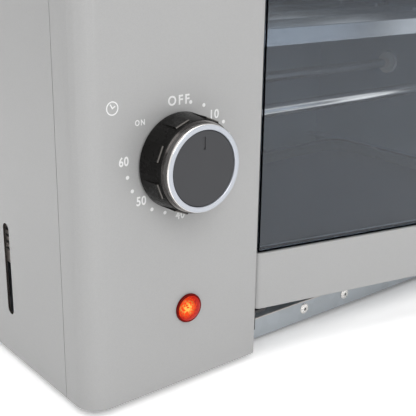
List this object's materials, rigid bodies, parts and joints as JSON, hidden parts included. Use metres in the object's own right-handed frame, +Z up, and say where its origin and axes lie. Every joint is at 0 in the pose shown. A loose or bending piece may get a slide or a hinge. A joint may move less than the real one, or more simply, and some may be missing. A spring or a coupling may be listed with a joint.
{
  "type": "electric skewer grill",
  "caption": "Table-top electric grill: side-hung glass door, control column with timer knob and lamp, pull-out drip tray, and skewers turned by meshed gears over heating tubes.",
  "frame": {"origin": "on the table, under the middle of the whole grill with its door ajar", "axes": "+X to the right along the front, +Y to the back, +Z up"},
  "size_m": [0.46, 0.4073, 0.23],
  "materials": {
    "grey_paint": "satin light grey metallic enamel",
    "galvanised": "bluish zinc-coated sheet with faint spangle",
    "liner_steel": "dull rolled stainless",
    "tray_steel": "dark enamelled sheet",
    "dark_steel": "black enamel",
    "screw_steel": "bright zinc",
    "rivet_metal": "bright drawn",
    "foot_rubber": "matt",
    "door_glass": "grey tinted heat-proof glass",
    "black_seal": "matt black",
    "handle_metal": "satin anodised",
    "knob_black": "glossy black-brown",
    "ring_silver": "pale silver",
    "cap_grey": "dark grey, finely turned",
    "ivory_plastic": "plain moulded",
    "lamp_red": "cut red lens",
    "motor_metal": "plated can",
    "bush_brass": "sintered bronze",
    "tube_steel": "heat-dulled sheath",
    "white_ceramic": "unglazed",
    "skewer_steel": "polished stainless"
  },
  "bodies": {
    "cabinet": {"front_frame": "grey_paint", "cabinet_wrap": "grey_paint", "back_panel": "grey_paint", "back_screws": "screw_steel", "base_pan": "galvanised", "front_stiffener": "galvanised", "pan_rivets": "rivet_metal", "feet": "foot_rubber", "foot_screws": "screw_steel", "liner_left": "liner_steel", "liner_right": "liner_steel", "vent_guard": "galvanised", "liner_shell": "liner_steel", "rest_comb": "liner_steel", "tray_rails": "liner_steel", "hinge_brackets": "dark_steel", "hinge_pins": "screw_steel", "catch_magnet": "black_seal", "timer_case": "ivory_plastic", "lamp_lens": "lamp_red", "lamp_body": "ivory_plastic", "gear_plate": "galvanised", "gear_posts": "screw_steel", "motor": "motor_metal", "bushes": "bush_brass", "heater_front": "tube_steel", "heater_rear": "tube_steel", "insulators": "white_ceramic", "cord_gland": "black_seal"},
    "door": {"door_rail_bottom": "grey_paint", "door_rail_top": "grey_paint", "door_stile": "grey_paint", "door_glass": "door_glass", "door_seal": "black_seal", "handle_bar": "handle_metal", "handle_posts": "handle_metal", "catch_striker": "screw_steel"},
    "tray": {"drip_tray": "tray_steel"},
    "timer_knob": {"knob_body": "knob_black", "knob_ring": "ring_silver", "knob_cap": "cap_grey", "timer_shaft": "screw_steel"},
    "motor_pinion": {"pinion": "ivory_plastic"},
    "spindle_1": {"spindle_1": "screw_steel", "gear_1": "ivory_plastic"},
    "skewer_1": {"skewer_1": "skewer_steel"},
    "spindle_2": {"spindle_2": "screw_steel", "gear_2": "ivory_plastic"},
    "skewer_2": {"skewer_2": "skewer_steel"},
    "spindle_3": {"spindle_3": "screw_steel", "gear_3": "ivory_plastic"},
    "skewer_3": {"skewer_3": "skewer_steel"},
    "spindle_4": {"spindle_4": "screw_steel", "gear_4": "ivory_plastic"},
    "skewer_4": {"skewer_4": "skewer_steel"},
    "spindle_5": {"spindle_5": "screw_steel", "gear_5": "ivory_plastic"},
    "skewer_5": {"skewer_5": "skewer_steel"}
  },
  "joints": [
    {"name": "door_hinge", "type": "hinge", "parent": "cabinet", "child": "door", "pos_m": [-0.1258, -0.10415, 0.115], "axis": [0, 0, -1], "range_deg": [-12.1, 82.9]},
    {"name": "tray_slide", "type": "slide", "parent": "cabinet", "child": "tray", "axis": [0, -1, 0], "range_m": [0, 0.2]},
    {"name": "timer_turn", "type": "hinge", "parent": "cabinet", "child": "timer_knob", "pos_m": [-0.18, -0.10735, 0.1152], "axis": [0, 1, 0], "range_deg": [-45, 270]},
    {"name": "spindle_1_spin", "type": "hinge", "parent": "cabinet", "child": "spindle_1", "pos_m": [-0.1286, -0.03735, 0.155], "axis": [1, 0, 0], "continuous": true},
    {"name": "spindle_2_spin", "type": "hinge", "parent": "cabinet", "child": "spindle_2", "pos_m": [-0.1286, 0.00265, 0.155], "axis": [1, 0, 0], "continuous": true},
    {"name": "spindle_3_spin", "type": "hinge", "parent": "cabinet", "child": "spindle_3", "pos_m": [-0.1286, 0.04265, 0.155], "axis": [1, 0, 0], "continuous": true},
    {"name": "spindle_4_spin", "type": "hinge", "parent": "cabinet", "child": "spindle_4", "pos_m": [-0.1286, 0.08265, 0.155], "axis": [1, 0, 0], "continuous": true},
    {"name": "spindle_5_spin", "type": "hinge", "parent": "cabinet", "child": "spindle_5", "pos_m": [-0.1286, 0.12265, 0.155], "axis": [1, 0, 0], "continuous": true},
    {"name": "motor_spin", "type": "hinge", "parent": "cabinet", "child": "motor_pinion", "pos_m": [-0.1486, 0.04265, 0.123], "axis": [1, 0, 0], "continuous": true},
    {"name": "skewer_1_pull", "type": "slide", "parent": "spindle_1", "child": "skewer_1", "axis": [1, 0, 0], "range_m": [0, 0.0116]},
    {"name": "skewer_2_pull", "type": "slide", "parent": "spindle_2", "child": "skewer_2", "axis": [1, 0, 0], "range_m": [0, 0.0116]},
    {"name": "skewer_3_pull", "type": "slide", "parent": "spindle_3", "child": "skewer_3", "axis": [1, 0, 0], "range_m": [0, 0.0116]},
    {"name": "skewer_4_pull", "type": "slide", "parent": "spindle_4", "child": "skewer_4", "axis": [1, 0, 0], "range_m": [0, 0.0116]},
    {"name": "skewer_5_pull", "type": "slide", "parent": "spindle_5", "child": "skewer_5", "axis": [1, 0, 0], "range_m": [0, 0.0116]}
  ],
  "couplings": [
    {"joint": "spindle_1_spin", "follows": "spindle_3_spin", "ratio": 1},
    {"joint": "spindle_2_spin", "follows": "spindle_3_spin", "ratio": -1},
    {"joint": "spindle_4_spin", "follows": "spindle_3_spin", "ratio": -1},
    {"joint": "spindle_5_spin", "follows": "spindle_3_spin", "ratio": 1},
    {"joint": "motor_spin", "follows": "spindle_3_spin", "ratio": -1.6667}
  ]
}
